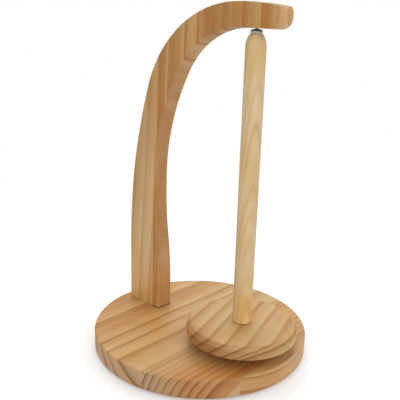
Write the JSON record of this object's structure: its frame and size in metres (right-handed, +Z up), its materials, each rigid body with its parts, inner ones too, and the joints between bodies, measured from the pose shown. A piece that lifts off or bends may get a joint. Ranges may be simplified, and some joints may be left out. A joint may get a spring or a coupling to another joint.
{
  "type": "rotating yarn holder",
  "caption": "Wooden yarn holder: a round base with a curved arm, and a rod with a disc at its foot that hangs from the arm's end and turns freely as yarn is pulled.",
  "frame": {"origin": "on the floor, under the centre of the round base", "axes": "+Z up; the arm stands in the XZ plane with its post on the -X side and the spindle on the +X side"},
  "size_m": [0.2, 0.2, 0.312],
  "materials": {
    "pine_base": "satin",
    "pine_arm": "satin",
    "pine_rod": "satin",
    "pine_disc": "satin",
    "felt": "matte",
    "zinc_steel": "satin",
    "nickel_plate": "gloss",
    "polished_steel": "gloss",
    "brass": "satin",
    "nylon": "matte"
  },
  "bodies": {
    "stand": {"base_stave_1": "pine_base", "base_stave_2": "pine_base", "base_stave_3": "pine_base", "base_stave_4": "pine_base", "foot_pad_1": "felt", "foot_pad_2": "felt", "foot_pad_3": "felt", "foot_pad_4": "felt", "arm_post": "pine_arm", "arm_bend": "pine_arm", "arm_crest": "pine_arm", "arm_tip": "pine_arm", "arm_screws": "zinc_steel", "magnet_cup": "zinc_steel", "magnet": "nickel_plate"},
    "ball": {"swivel_ball": "polished_steel"},
    "cup": {"ball_cup": "nylon"},
    "cap": {"swivel_cap": "nickel_plate"},
    "spindle": {"spindle_rod": "pine_rod", "swivel_bush": "brass", "disc": "pine_disc", "disc_screw": "zinc_steel"}
  },
  "joints": [
    {"name": "pull_off", "type": "slide", "parent": "stand", "child": "ball", "axis": [0, -1, 0], "range_m": [0, 0.12]},
    {"name": "swing_side", "type": "hinge", "parent": "ball", "child": "cup", "pos_m": [0.05, 0, 0.2893], "axis": [1, 0, 0], "range_deg": [-10, 10]},
    {"name": "swing_fore", "type": "hinge", "parent": "cup", "child": "cap", "pos_m": [0.05, 0, 0.2893], "axis": [0, 1, 0], "range_deg": [-10, 10]},
    {"name": "spin", "type": "hinge", "parent": "cap", "child": "spindle", "pos_m": [0.05, 0, 0.2893], "axis": [0, 0, 1], "continuous": true}
  ]
}
